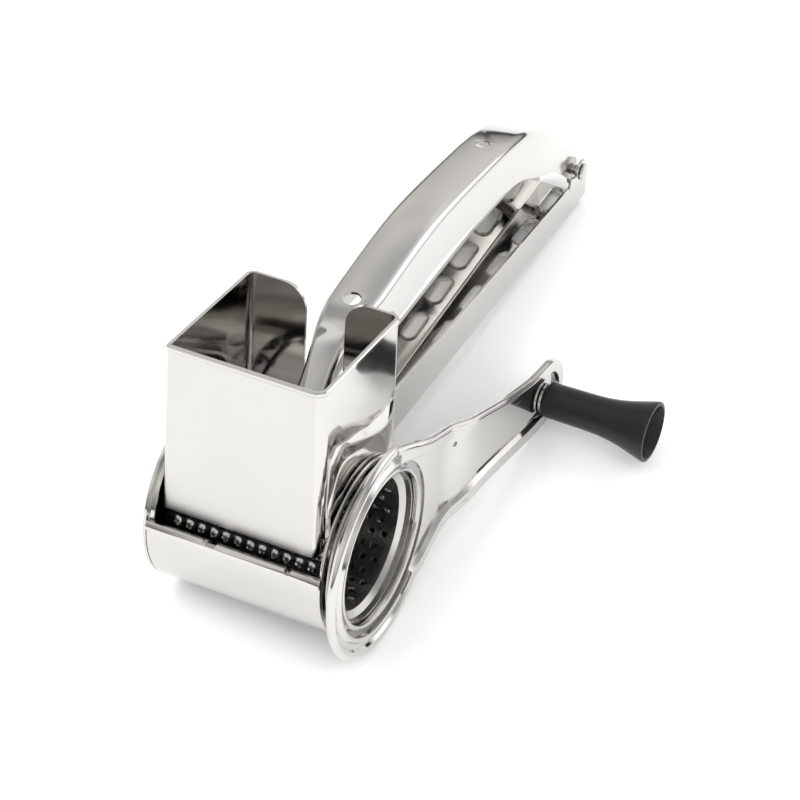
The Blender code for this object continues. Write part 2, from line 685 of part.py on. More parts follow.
def build_knob(frame):
    """The knob that turns on a spindle riveted through the arm's tip."""
    centre = crank_tip()
    rear = RING_FACE - RING_DEPTH + CRANK_OFFSET
    seat = rear + CRANK_SHEET
    washer_start = seat + GAP
    washer_end = washer_start + 0.7 * MM
    knob_start = washer_end + GAP
    knob_end = knob_start + KNOB_LENGTH
    floor = knob_start + KNOB_LENGTH * 0.45
    cap_end = floor + 1.8 * MM

    profile = [
        (rear - GAP - 0.9 * MM, 1.6 * MM),
        (rear - GAP - 0.6 * MM, 3.2 * MM),
        (rear - GAP, 3.8 * MM),
        (rear - GAP, SPINDLE_RADIUS),
        (floor + GAP, SPINDLE_RADIUS),
        (floor + GAP, 3.4 * MM),
        (cap_end, 3.1 * MM),
        (cap_end + 0.4 * MM, 1.8 * MM),
    ]
    spindle = add_object("knob_spindle", rod_mesh("knob_spindle", profile, 24, centre), frame, STEEL)

    ring = [
        (washer_start, SPINDLE_RADIUS + GAP),
        (washer_start, 4.4 * MM),
        (washer_end, 4.4 * MM),
        (washer_end, SPINDLE_RADIUS + GAP),
    ]
    washer = add_object("knob_washer", turned_mesh("knob_washer", ring, 24, centre), frame, STEEL)

    bore = SPINDLE_RADIUS + GAP
    flare = KNOB_END_RADIUS - KNOB_SMALL_RADIUS
    outline = [
        (knob_start, bore),
        (knob_start, KNOB_SMALL_RADIUS - 0.6 * MM),
        (knob_start + 0.6 * MM, KNOB_SMALL_RADIUS),
    ]
    for share, grown in KNOB_FLARE:
        outline.append((knob_start + KNOB_LENGTH * share, KNOB_SMALL_RADIUS + flare * grown))
    outline += [
        (knob_end - 0.5 * MM, KNOB_END_RADIUS),
        (knob_end - 0.1 * MM, KNOB_END_RADIUS - 0.15 * MM),
        (knob_end, KNOB_END_RADIUS - 0.5 * MM),
        (knob_end, KNOB_BORE),
        (knob_end - 4 * MM, KNOB_BORE - 1.8 * MM),
        (floor + 4 * MM, 4.0 * MM),
        (floor, 4.0 * MM),
        (floor, bore),
    ]
    origin = (knob_start, *centre)
    knob = add_object("knob", turned_mesh("knob", outline, 40, centre), frame, BLACK, origin)
    return spindle, washer, knob


# ---------------------------------------------------------------- handles


def lower_station(y):
    """Half width, top edge and floor height of the lower handle at one place along it."""
    share = y / HINGE_Y
    half = LOWER_START_HALF_WIDTH + (LOWER_END_HALF_WIDTH - LOWER_START_HALF_WIDTH) * share
    edge = LOWER_EDGE_START + (LOWER_EDGE_END - LOWER_EDGE_START) * share
    depth = LOWER_DEPTH_START + (LOWER_DEPTH_END - LOWER_DEPTH_START) * share
    return half, edge, edge - depth


def channel_loop(y, half, edge, floor, corner):
    """A closed U outline at one place along the handle, open upwards, with its left wall a little taller."""
    crown = min(max((HINGE_Y - 14 * MM - y) / (36 * MM), 0), max((y - CRADLE_RADIUS) / (24 * MM), 0), 1)
    path = [(-half, edge + LOWER_LEFT_RISE + LOWER_LEFT_CROWN * crown)]
    path += arc((-half + corner, floor + corner), corner, math.pi, 3 * math.pi / 2, 4)
    path += arc((half - corner, floor + corner), corner, -math.pi / 2, 0, 4)
    path += [(half, edge)]
    outline = strip(path, SHEET)
    return [(LOWER_OFFSET + x, y, z) for x, z in outline]


def build_lower_handle(frame):
    """The fixed handle: a channel with slots in its floor, saddled on the cradle and ending in hinge lugs."""
    start = CRADLE_RADIUS * 0.6
    end = HINGE_Y + LUG_RADIUS
    loops = []
    for i in range(17):
        y = start + (end - start) * i / 16
        half, edge, floor = lower_station(y)
        loops.append(channel_loop(y, half, edge, floor, LOWER_CORNER))
    handle = add_object("lower_handle", loft_mesh("lower_handle", loops), frame, STEEL)

    half, _, _ = lower_station(HINGE_Y)
    for side in (-1, 1):
        outline = arc((HINGE_Y, HINGE_Z), LUG_RADIUS, -math.pi / 2, math.pi, 18)
        inner_end = HINGE_Y - LUG_RADIUS * 2.2
        outline += [(inner_end, HINGE_Z + 1 * MM), (inner_end, HINGE_Z - 3 * MM)]
        face = LOWER_OFFSET + side * half
        low, high = sorted((face, face - side * SHEET))
        boolean(handle, add_object("lug", prism_mesh("lug", outline, low, high), frame), "UNION")

    flange_steps = 8
    sector = arc((0, 0), CRADLE_RADIUS + GAP, math.radians(-34), math.radians(-6), flange_steps)
    sector += arc((0, 0), CRADLE_RADIUS + GAP + SHEET, math.radians(-6), math.radians(-34), flange_steps)
    flange = prism_mesh("flange", sector, LOWER_OFFSET - 11 * MM, LOWER_OFFSET + 11 * MM)
    saddle = rod_mesh("saddle", [(-30 * MM, CRADLE_RADIUS + GAP), (30 * MM, CRADLE_RADIUS + GAP)], STEPS)
    boolean(handle, add_object("flange", flange, frame), "UNION")
    boolean(handle, add_object("saddle", saddle, frame))

    for i in range(SLOT_COUNT):
        y = SLOT_FIRST + SLOT_PITCH * i
        _, _, floor = lower_station(y)
        slot = rounded_slot((LOWER_OFFSET, y), SLOT_LENGTH, SLOT_WIDTH, 1)
        cutter = prism_mesh("slot", slot, floor - 2 * MM, floor + 2 * MM, axis=2)
        boolean(handle, add_object("slot", cutter, frame))

    pin_hole = rod_mesh(
        "pin_hole",
        [(-20 * MM, HINGE_PIN_RADIUS + GAP), (20 * MM, HINGE_PIN_RADIUS + GAP)],
        24,
        (HINGE_Y, HINGE_Z),
    )
    boolean(handle, add_object("pin_hole", pin_hole, frame))
    return handle


def build_handle_rivets(frame, cradle, handle):
    """Two rivets through the handle's saddle flange and the cradle."""
    shank, head = 1.3 * MM, 2.3 * MM
    rivets = []
    angle = math.radians(-20)
    turn = Matrix.Rotation(angle, 4, "X") @ Matrix.Rotation(math.pi / 2, 4, "Z")
    inner, outer = CRADLE_RADIUS - SHEET - GAP, CRADLE_RADIUS + 2 * GAP + SHEET
    for name, x in (("handle_rivet_left", -8 * MM), ("handle_rivet_right", 8 * MM)):
        place = Matrix.Translation((LOWER_OFFSET + x, 0, 0)) @ turn
        hole = rod_mesh("rivet_hole", [(inner - 2 * MM, shank + GAP), (outer + 2 * MM, shank + GAP)], 16)
        hole.transform(place)
        spare = hole.copy()
        boolean(cradle, add_object("rivet_hole", hole, frame))
        boolean(handle, add_object("rivet_hole", spare, frame))
        mesh = rod_mesh(name, rivet_profile(inner, outer, shank, head, 0.8 * MM), 16)
        mesh.transform(place)
        rivets.append(add_object(name, mesh, frame, STEEL))
    return rivets


def spine():
    """The upper handle's top line, from the presser up through the neck and over to the hinge, as (y, z)."""
    foot = DRUM_RADIUS + NECK_LIFT
    line = [(foot * math.cos(NECK_ANGLE), foot * math.sin(NECK_ANGLE))]
    stretch = HINGE_Y / SPINE_HINGE
    for y, z in SPINE:
        line.append((y * stretch * MM, z * MM))
    return line


def build_upper_handle(frame):
    """The lever: an arched channel, open downwards, whose neck dives through the notch into the hopper."""
    line = catmull(spine(), 2)
    line += [(HINGE_Y + 1.6 * MM, HINGE_Z + 5.2 * MM), (HINGE_Y + 3.6 * MM, HINGE_Z + 1.6 * MM)]
    loops = []
    for i, (y, z) in enumerate(line):
        before, after = Vector(line[max(i - 1, 0)]), Vector(line[min(i + 1, len(line) - 1)])
        along = (after - before).normalized()
        up = Vector((-along.y, along.x))
        widen = min(max((y - 20 * MM) / (18 * MM), 0), 1)
        half = NECK_HALF_WIDTH + (UPPER_HALF_WIDTH - NECK_HALF_WIDTH) * widen
        close = min(max((y - HINGE_Y + 31 * MM) / (26 * MM), 0), 1)
        half += (TONGUE_HALF_WIDTH - UPPER_HALF_WIDTH) * close
        flat = half * UPPER_FLAT_HALF_WIDTH / UPPER_HALF_WIDTH
        deepen = min(max((y - 12 * MM) / (40 * MM), 0), 1)
        depth = 3.6 * MM + (UPPER_DEPTH - 3.6 * MM) * deepen
        depth -= (UPPER_DEPTH - 9.0 * MM) * close
        shoulder = min(half - flat, depth * 0.5)
        path = [(half, -depth)]
        path += arc((half - shoulder, -shoulder), shoulder, 0, math.pi / 2, 4)
        path += arc((-half + shoulder, -shoulder), shoulder, math.pi / 2, math.pi, 4)
        path += [(-half, -depth)]
        loops.append(
            [(LOWER_OFFSET + a, y + up.x * b, z + up.y * b) for a, b in strip(path, SHEET)]
        )
    handle = add_object("upper_handle", loft_mesh("upper_handle", loops), frame, STEEL, hinge_origin())

    for side in (-1, 1):
        outline = arc((HINGE_Y, HINGE_Z), LUG_RADIUS, -math.pi * 0.9, math.pi * 0.3, 14)
        outline += [(HINGE_Y - 2 * MM, HINGE_Z + 5.5 * MM), (HINGE_Y - 14 * MM, HINGE_Z + 12 * MM)]
        face = LOWER_OFFSET + side * TONGUE_HALF_WIDTH
        low, high = sorted((face, face - side * SHEET))
        boolean(handle, add_object("lug", prism_mesh("lug", outline, low, high), frame), "UNION")
    pin_hole = rod_mesh(
        "pin_hole",
        [(-20 * MM, HINGE_PIN_RADIUS + GAP), (20 * MM, HINGE_PIN_RADIUS + GAP)],
        24,
        (HINGE_Y, HINGE_Z),
    )
    boolean(handle, add_object("pin_hole", pin_hole, frame))
    for share in HANG_HOLES:
        centre = (LOWER_OFFSET, share * HINGE_Y)
        ring = arc(centre, HANG_HOLE_RADIUS, 0, math.tau * 15 / 16, 15)
        hole = prism_mesh("hang_hole", ring, 42 * MM, 62 * MM, axis=2)
        boolean(handle, add_object("hang_hole", hole, frame))
    return handle


def hinge_origin():
    return (0, HINGE_Y, HINGE_Z)


def build_hinge_pin(frame):
    """The pin through both handles' lugs, with a domed head at each end."""
    half, _, _ = lower_station(HINGE_Y)
    low, high = LOWER_OFFSET - half - GAP, LOWER_OFFSET + half + GAP
    profile = rivet_profile(low, high, HINGE_PIN_RADIUS, 2.7 * MM, 1.0 * MM)
    return add_object("hinge_pin", rod_mesh("hinge_pin", profile, 24, (HINGE_Y, HINGE_Z)), frame, STEEL)


def presser_sector(inner, thickness, start, end, half, centre, steps):
    """A strip that follows the drum round the X axis, as a prism of the given half width."""
    sector = arc((0, 0), inner, start, end, steps)
    sector += arc((0, 0), inner + thickness, end, start, steps)
    return prism_mesh("sector", sector, centre - half, centre + half)


def build_presser(frame, lever):
    """The saddle that pushes the cheese on to the drum, riveted to wings on the lever's neck."""
    inner = DRUM_RADIUS + PRESSER_LIFT
    plate_sheet = 1.0 * MM
    half = HOPPER_TOP_HALF_WIDTH - SHEET - 1.6 * MM
    plate_mesh = presser_sector(inner, plate_sheet, math.radians(48), math.radians(150), half, 0, 14)
    plate = add_object("presser_plate", plate_mesh, frame, STEEL, hinge_origin())

    wing = inner + plate_sheet + GAP
    wing_mesh = presser_sector(wing, SHEET, math.radians(56), math.radians(82), 9.6 * MM, LOWER_OFFSET, 5)
    boolean(lever, add_object("wing", wing_mesh, frame), "UNION")
    drum_way = rod_mesh("drum_way", [(-2 * half, wing), (2 * half, wing)], STEPS)
    boolean(lever, add_object("drum_way", drum_way, frame))

    shank, head = 1.1 * MM, 2.0 * MM
    turn = Matrix.Rotation(math.radians(69), 4, "X") @ Matrix.Rotation(math.pi / 2, 4, "Z")
    top = wing + SHEET + GAP
    rivets = [plate]
    for name, x in (("presser_rivet_left", -6.9 * MM), ("presser_rivet_right", 6.9 * MM)):
        place = Matrix.Translation((LOWER_OFFSET + x, 0, 0)) @ turn
        hole = rod_mesh("rivet_hole", [(inner - MM, shank + GAP), (top + MM, shank + GAP)], 16)
        hole.transform(place)
        spare = hole.copy()
        boolean(plate, add_object("rivet_hole", hole, frame))
        boolean(lever, add_object("rivet_hole", spare, frame))
        profile = [(inner, shank), (top, shank), (top, head)]
        profile += [(top + 0.5 * MM, head * 0.85), (top + 0.8 * MM, head * 0.4)]
        mesh = rod_mesh(name, profile, 16)
        mesh.transform(place)
        rivets.append(add_object(name, mesh, frame, STEEL, hinge_origin()))
    return rivets


# ---------------------------------------------------------------- assembly


def resting_frame():
    """The parent empty, leaned so that crank ring, left end and handle heel all stand on one level."""
    heel_y = HINGE_Y + LUG_RADIUS
    half, _, floor = lower_station(heel_y)
    heel_x = LOWER_OFFSET - half + LOWER_CORNER
    ring_x = RING_FACE - 1.4 * MM
    side_slope = (RING_RADIUS - CRADLE_RADIUS) / (ring_x + CRADLE_LEFT)
    level = 1 / math.hypot(1, side_slope)
    drop = RING_RADIUS - side_slope * ring_x + side_slope * heel_x
    lean = math.atan2(floor, heel_y) + math.asin(drop / math.hypot(heel_y, floor))
    up = Vector((side_slope * level, -math.sin(lean) * level, math.cos(lean) * level))
    forward = Vector((0, 1, 0))
    forward = (forward - up * forward.dot(up)).normalized()
    frame = bpy.data.objects.new("grater_frame", None)
    bpy.context.collection.objects.link(frame)
    frame.matrix_world = Matrix((forward.cross(up), forward, up)).to_4x4()
    return frame


def centre_on_table(frame):
    """Moves the whole grater so that its lowest point is at Z = 0 and its box is centred on the origin."""
    bpy.context.view_layer.update()
    points = [obj.matrix_world @ vertex.co for obj in frame.children for vertex in obj.data.vertices]
    low = [min(point[i] for point in points) for i in range(3)]
    high = [max(point[i] for point in points) for i in range(3)]
    frame.location = (-(low[0] + high[0]) / 2, -(low[1] + high[1]) / 2, -low[2])


def main():
    clear_scene()
    frame = resting_frame()
    bpy.context.view_layer.update()
    build_hopper(frame)
    cradle = build_cradle(frame)
    build_end_plate(frame)
    build_collar(frame)
    build_axle(frame)
    build_drum(frame)
    build_crank_plate(frame)
    build_knob(frame)
    handle = build_lower_handle(frame)
    build_handle_rivets(frame, cradle, handle)
    lever = build_upper_handle(frame)
    build_hinge_pin(frame)
    build_presser(frame, lever)
    centre_on_table(frame)


main()
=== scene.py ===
import json
import math

import bpy
import bmesh
from mathutils import Matrix, Vector


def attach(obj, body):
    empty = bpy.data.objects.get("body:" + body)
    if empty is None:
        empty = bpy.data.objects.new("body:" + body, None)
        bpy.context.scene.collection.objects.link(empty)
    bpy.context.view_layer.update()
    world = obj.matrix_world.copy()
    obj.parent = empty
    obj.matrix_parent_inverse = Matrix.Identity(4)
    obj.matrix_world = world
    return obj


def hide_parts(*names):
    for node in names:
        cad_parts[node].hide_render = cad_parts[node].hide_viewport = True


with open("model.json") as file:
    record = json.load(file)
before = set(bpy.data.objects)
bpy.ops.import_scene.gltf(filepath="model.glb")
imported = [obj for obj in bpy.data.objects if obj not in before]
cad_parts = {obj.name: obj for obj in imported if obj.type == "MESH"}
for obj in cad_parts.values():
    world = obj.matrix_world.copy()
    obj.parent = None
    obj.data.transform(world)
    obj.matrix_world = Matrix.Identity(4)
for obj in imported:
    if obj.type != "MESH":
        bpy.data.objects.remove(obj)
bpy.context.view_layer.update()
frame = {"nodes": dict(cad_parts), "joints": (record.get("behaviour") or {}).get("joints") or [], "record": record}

MM = 0.001

# Grater sizes shared with the frame, in metres in the grater's own axes:
# X along the drum to the crank, Y back along the handles, Z up the hopper, origin on the drum's axis.
HINGE_Y = 181.0 * MM
HINGE_Z = 20.4 * MM
HOPPER_FRONT = 20.2 * MM
CRADLE_RIGHT = 26.3 * MM
SHEET = 0.8 * MM

# The drum, its grating and the ridged rings beside it.
DRUM_RADIUS = 19.7 * MM
DRUM_START = -22.7 * MM
MOUTH_FACE = 31.0 * MM
HOLE_ROWS = 32
HOLE_PITCH = 3.6 * MM
HOLE_RADIUS = 0.75 * MM
HOLE_POINTS = 16
BURR = 0.8 * MM
GRATING_OUTER = DRUM_RADIUS - BURR - 0.05 * MM
GRATING_INNER = GRATING_OUTER - 0.4 * MM
RING_STEPS = 144
COLLAR_START = 24.9 * MM
COLLAR_PITCH = 1.1 * MM
COLLAR_BASE = 23.3 * MM
COLLAR_RISE = 0.75 * MM
COLLAR_BORE = DRUM_RADIUS + 0.5 * MM
FLANGE_START = 27.0 * MM
FLANGE_PITCH = 0.95 * MM
FLANGE_BASE = 23.2 * MM
FLANGE_RISE = 0.8 * MM
FLANGE_BORE = 21.6 * MM
FLANGE_END = 30.4 * MM

# The crank's arm, from the drum's axis to its round tip. Its two edges are (distance, height) in millimetres.
RING_BACK = 30.9 * MM
CRANK_ANGLE = math.radians(-2.24)
CRANK_LENGTH = 92.3 * MM
CRANK_STEP = 2.8 * MM
CRANK_OFFSET = 5.0 * MM
JOGGLE_START = 35.0 * MM
JOGGLE_END = 47.0 * MM
SLOPE_END = 82.0 * MM
TIP_ABOVE = 10.5 * MM
TIP_BELOW = 7.3 * MM
RIM_TOP = 2.3 * MM
RIM_BEAD = 1.15 * MM
ARM_UPPER_EDGE = [
    (2, 28.9), (10, 26.0), (16, 23.4), (22, 21.0), (27, 19.7), (32.5, 18.4),
    (37, 17.5), (42, 16.8), (52, 15.0), (64, 12.6), (76, 11.0), (84.3, 10.5),
]  # fmt: skip
ARM_LOWER_EDGE = [
    (84.3, -7.3), (76, -7.2), (64, -7.4), (52, -7.9), (42, -9.6),
    (37, -11.5), (32.5, -13.2), (27, -16.2), (22, -19.2),
]  # fmt: skip

# The slots in the lower handle's floor.
LOWER_OFFSET = 0.6 * MM
LOWER_FLOOR_START = -15.2 * MM
LOWER_FLOOR_END = 9.3 * MM
SLOT_COUNT = 5
SLOT_FIRST = 103.5 * MM
SLOT_PITCH = 18.5 * MM
SLOT_LENGTH = 12.5 * MM
SLOT_WIDTH = 4.2 * MM
SLOT_BEAD = 0.45 * MM
SLOT_BEAD_OUT = 0.25 * MM
SLOT_BEAD_UP = 0.15 * MM

# The camera, in the grater's axes: its place in millimetres and its right and forward directions.
CAMERA_LENS = 119.07
CAMERA_PLACE = (262.3, -502.3, 415.86)
CAMERA_RIGHT = (0.8936, 0.4456, 0.0534)
CAMERA_FORWARD = (-0.3444, 0.7571, -0.5551)

# Brightness of the studio by height, from 0 straight down to 1 straight up, with a dark line at the horizon.
SKY_DOWN = 0.90
SKY_UP = 0.92
SKY_STOPS = ((0.49, 0.10), (0.515, 0.14), (0.54, 0.50), (0.62, 0.72), (0.80, 0.85))
SKY_WARMTH = (1, 0.985, 0.96)
PANEL_DIRECTION = (0.62, 0.70, 0.36)
FLOOR_HALF_SIDE = 3.0

# The satin finish of the hopper's front, and the depths behind its face between which it fades in.
SATIN_ROUGHNESS = 0.32
SATIN_FADE = (0.45 * MM, 0.15 * MM)

# Points of the frame closer than this are joined. Edges flatter than these, in the frame and in new pieces,
# are shaded smooth.
WELD = 2e-6
FRAME_SMOOTH = math.radians(35)
PIECE_SMOOTH = math.radians(40)


def grater_matrix():
    """From the grater's own axes to the frame, read from the crank's and the lever's joints."""
    joints = {j["name"]: j for j in frame["joints"]}
    crank = joints["crank_spin"]
    x_axis = Vector(crank["axis"]).normalized()
    origin = Vector(crank["pos_m"])
    reach = Vector(joints["lever_hinge"]["pos_m"]) - origin
    reach -= x_axis * reach.dot(x_axis)
    along = reach.normalized()
    across = x_axis.cross(along)
    length = math.hypot(HINGE_Y, HINGE_Z)
    y_axis = (HINGE_Y * along - HINGE_Z * across) / length
    z_axis = (HINGE_Z * along + HINGE_Y * across) / length
    turn = Matrix((x_axis, y_axis, z_axis)).transposed().to_4x4()
    return Matrix.Translation(origin) @ turn


GRATER = grater_matrix()


def link_object(name, data):
    made = bpy.data.objects.new(name, data)
    bpy.context.scene.collection.objects.link(made)
    return made


# ---------------------------------------------------------------- nodes


def add_node(tree, kind, values=(), **properties):
    """A shader node with its properties and the inputs that stay unlinked."""
    node = tree.nodes.new("ShaderNode" + kind)
    for name, value in properties.items():
        setattr(node, name, value)
    for name, value in dict(values).items():
        node.inputs[name].default_value = value
    return node


def add_noise(tree, vector, scale, detail, roughness=0.5):
    noise = add_node(tree, "TexNoise", {"Scale": scale, "Detail": detail, "Roughness": roughness})
    tree.links.new(vector, noise.inputs["Vector"])
    return noise.outputs["Fac"]


def add_range(tree, value, given, wanted, **properties):
    """A value taken from the span given to the span wanted."""
    ends = {"From Min": given[0], "From Max": given[1], "To Min": wanted[0], "To Max": wanted[1]}
    node = add_node(tree, "MapRange", ends, **properties)
    tree.links.new(value, node.inputs["Value"])
    return node.outputs["Result"]


def add_dot(tree, vector, direction):
    node = add_node(tree, "VectorMath", operation="DOT_PRODUCT")
    node.inputs[1].default_value = direction
    tree.links.new(vector, node.inputs[0])
    return node.outputs["Value"]


def add_blend(tree, factor, first, second):
    """A colour between two colours."""
    node = add_node(tree, "Mix", {"A": (*first, 1), "B": (*second, 1)}, data_type="RGBA")
    tree.links.new(factor, node.inputs["Factor"])
    return node.outputs["Result"]


def add_rounding(tree, radius):
    """Normals softly rounded at the edges."""
    node = add_node(tree, "Bevel", {"Radius": radius}, samples=4)
    return node.outputs["Normal"]


def add_bump(tree, normal, height, strength, distance):
    node = add_node(tree, "Bump", {"Strength": strength, "Distance": distance})
    tree.links.new(normal, node.inputs["Normal"])
    tree.links.new(height, node.inputs["Height"])
    return node.outputs["Normal"]


# ---------------------------------------------------------------- camera, light and floor


def add_camera():
    data = bpy.data.cameras.new("camera")
    data.sensor_width = 36
    data.lens = CAMERA_LENS
    data.clip_start = 0.01
    data.clip_end = 20
    camera = link_object("camera", data)
    place = Vector(CAMERA_PLACE) * MM
    right = Vector(CAMERA_RIGHT).normalized()
    forward = Vector(CAMERA_FORWARD).normalized()
    up = right.cross(forward).normalized()
    right = forward.cross(up)
    turn = Matrix((right, up, -forward)).transposed().to_4x4()
    camera.matrix_world = GRATER @ Matrix.Translation(place) @ turn
    bpy.context.scene.camera = camera


def add_area_light(name, place, size, watts):
    """A soft light aimed at the middle of the floor, not seen in the steel itself."""
    data = bpy.data.lights.new(name, "AREA")
    data.shape = "RECTANGLE"
    data.size = size[0]
    data.size_y = size[1]
    data.energy = watts
    light = link_object(name, data)
    light.location = place
    light.rotation_mode = "QUATERNION"
    light.rotation_quaternion = (-Vector(place)).to_track_quat("-Z", "Y")
    light.visible_glossy = False


def add_world():
    """A studio as the steel sees it: bright overhead, dim low down, with a few darker walls round about."""
    world = bpy.data.worlds.new("studio")
    bpy.context.scene.world = world
    world.use_nodes = True
    tree = world.node_tree
    tree.nodes.clear()
    links = tree.links
    out = add_node(tree, "OutputWorld")
    back = add_node(tree, "Background")
    direction = add_node(tree, "TexCoord").outputs["Generated"]
    split = add_node(tree, "SeparateXYZ")
    links.new(direction, split.inputs[0])

    sky = add_node(tree, "ValToRGB")
    links.new(add_range(tree, split.outputs["Z"], (-1, 1), (0, 1)), sky.inputs[0])
    stops = sky.color_ramp.elements
    stops[0].position = 0.0
    stops[0].color = (SKY_DOWN, SKY_DOWN, SKY_DOWN, 1)
    stops[1].position = 1.0
    stops[1].color = (SKY_UP, SKY_UP, SKY_UP, 1)
    for position, grey in SKY_STOPS:
        stops.new(position).color = (*[grey * tone for tone in SKY_WARMTH], 1)

    walls = add_noise(tree, direction, 1.6, 1.0)
    shade = add_node(tree, "VectorMath", operation="SCALE")
    links.new(sky.outputs[0], shade.inputs[0])
    links.new(add_range(tree, walls, (0.36, 0.60), (0.55, 1.15)), shade.inputs["Scale"])

    facing = add_dot(tree, direction, Vector(PANEL_DIRECTION).normalized())
    glow = add_node(tree, "VectorMath", operation="ADD")
    links.new(shade.outputs[0], glow.inputs[0])
    panel = add_range(tree, facing, (0.91, 0.97), (0, 1), interpolation_type="SMOOTHSTEP")
    links.new(panel, glow.inputs[1])
    links.new(glow.outputs[0], back.inputs["Color"])
    links.new(back.outputs[0], out.inputs["Surface"])


def new_material(name):
    made = bpy.data.materials.new(name)
    made.use_nodes = True
    return made, made.node_tree, made.node_tree.nodes["Principled BSDF"]


def add_floor():
    mesh = bpy.data.meshes.new("floor")
    side = FLOOR_HALF_SIDE
    corners = [(-side, -side, 0), (side, -side, 0), (side, side, 0), (-side, side, 0)]
    mesh.from_pydata(corners, [], [(0, 1, 2, 3)])
    floor = link_object("floor", mesh)
    made, _, shader = new_material("floor_white")
    shader.inputs["Base Color"].default_value = (0.96, 0.96, 0.96, 1)
    shader.inputs["Roughness"].default_value = 0.9
    shader.inputs["Specular IOR Level"].default_value = 0.1
    mesh.materials.append(made)


# ---------------------------------------------------------------- materials


def satin_front(tree, coords, polished_roughness):
    """Roughness that rises to a brushed satin on the outside of the hopper's flat front."""
    back = GRATER.to_3x3() @ Vector((0, 1, 0))
    face = (GRATER @ Vector((0, -HOPPER_FRONT, 0))).dot(back)
    depth = add_dot(tree, coords, back)
    mask = add_range(tree, depth, (face + SATIN_FADE[0], face + SATIN_FADE[1]), (0, 1))
    blend = add_node(tree, "Mix", {"B": SATIN_ROUGHNESS})
    tree.links.new(mask, blend.inputs["Factor"])
    tree.links.new(polished_roughness, blend.inputs["A"])
    return blend.outputs["Result"]


def steel_material(name, color, rough, rough_spread, wave, scratch, edge=0.25, satin=False):
    """Polished sheet: fine rubbing marks, a slow unevenness from pressing, and softly rounded edges.

    wave, scratch and edge are depths and a radius in millimetres.
    """
    made, tree, shader = new_material(name)
    links = tree.links
    shader.inputs["Metallic"].default_value = 1.0
    coords = add_node(tree, "TexCoord").outputs["Object"]

    smudge = add_noise(tree, coords, 55, 5, 0.62)
    roughness = add_range(tree, smudge, (0.35, 0.72), (rough, rough + rough_spread))
    if satin:
        roughness = satin_front(tree, coords, roughness)
    links.new(roughness, shader.inputs["Roughness"])
    tint = add_blend(tree, smudge, color, [tone * 0.93 for tone in color])
    links.new(tint, shader.inputs["Base Color"])

    stretch = add_node(tree, "Mapping", {"Rotation": (0.1, 0.06, 0.4), "Scale": (900, 60, 900)})
    links.new(coords, stretch.inputs["Vector"])
    marks = add_noise(tree, stretch.outputs["Vector"], 3, 3)
    pressed = add_noise(tree, coords, 38, 1.5)
    normal = add_rounding(tree, edge * MM)
    normal = add_bump(tree, normal, pressed, 1.0, wave * MM)
    normal = add_bump(tree, normal, marks, 1.0, scratch * MM)
    links.new(normal, shader.inputs["Normal"])
    return made


def knob_material():
    """Moulded black plastic with a fine grain and cloudy gloss."""
    made, tree, shader = new_material("knob_black")
    links = tree.links
    shader.inputs["Specular IOR Level"].default_value = 0.35
    coords = add_node(tree, "TexCoord").outputs["Object"]
    grain = add_noise(tree, coords, 900, 4)
    cloud = add_noise(tree, coords, 90, 4)
    tone = add_blend(tree, cloud, (0.008, 0.0072, 0.009), (0.013, 0.0115, 0.0145))
    links.new(tone, shader.inputs["Base Color"])
    links.new(add_range(tree, cloud, (0, 1), (0.30, 0.46)), shader.inputs["Roughness"])
    normal = add_bump(tree, add_rounding(tree, 0.3 * MM), grain, 0.5, 0.02 * MM)
    links.new(normal, shader.inputs["Normal"])
    return made


def smooth_group():
    """A modifier that joins the frame's loose triangles and smooths across every edge that is flat enough."""
    group = bpy.data.node_groups.new("smooth_shading", "GeometryNodeTree")
    group.interface.new_socket("Geometry", in_out="INPUT", socket_type="NodeSocketGeometry")
    group.interface.new_socket("Geometry", in_out="OUTPUT", socket_type="NodeSocketGeometry")
    nodes, links = group.nodes, group.links
    start = nodes.new("NodeGroupInput")
    end = nodes.new("NodeGroupOutput")
    drop = nodes.new("GeometryNodeRemoveAttribute")
    drop.inputs["Name"].default_value = "custom_normal"
    weld = nodes.new("GeometryNodeMergeByDistance")
    weld.inputs["Distance"].default_value = WELD
    smooth = nodes.new("GeometryNodeSetShadeSmooth")
    smooth.domain = "FACE"
    smooth.inputs["Shade Smooth"].default_value = True
    angle = nodes.new("GeometryNodeInputMeshEdgeAngle")
    sharp = nodes.new("FunctionNodeCompare")
    sharp.data_type = "FLOAT"
    sharp.operation = "GREATER_THAN"
    sharp.inputs["B"].default_value = FRAME_SMOOTH
    edges = nodes.new("GeometryNodeSetShadeSmooth")
    edges.domain = "EDGE"
    edges.inputs["Shade Smooth"].default_value = False
    links.new(start.outputs[0], drop.inputs["Geometry"])
    links.new(drop.outputs["Geometry"], weld.inputs["Geometry"])
    links.new(weld.outputs["Geometry"], smooth.inputs["Geometry"])
    links.new(smooth.outputs["Geometry"], edges.inputs["Geometry"])
    links.new(angle.outputs["Unsigned Angle"], sharp.inputs["A"])
    links.new(sharp.outputs["Result"], edges.inputs["Selection"])
    links.new(edges.outputs["Geometry"], end.inputs[0])
    return group


# ---------------------------------------------------------------- pieces


def finish_piece(name, mesh, body, made):
    """The object of a finished mesh, on the body it moves with."""
    mesh.materials.clear()
    mesh.materials.append(made)
    piece = link_object(name, mesh)
    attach(piece, body)
    return piece


def add_piece(name, points, faces, body, made, slot):
    """A piece from points in the grater's axes."""
    mesh = bpy.data.meshes.new(name)
    mesh.from_pydata([tuple(p) for p in points], [], faces)
    work = bmesh.new()
    work.from_mesh(mesh)
    bmesh.ops.remove_doubles(work, verts=work.verts, dist=WELD / 2)
    bmesh.ops.recalc_face_normals(work, faces=work.faces)
    work.to_mesh(mesh)
    work.free()
    mesh.transform(GRATER)
    mesh.shade_smooth()
    mesh.set_sharp_from_angle(angle=PIECE_SMOOTH)
    return finish_piece(name, mesh, body, made)


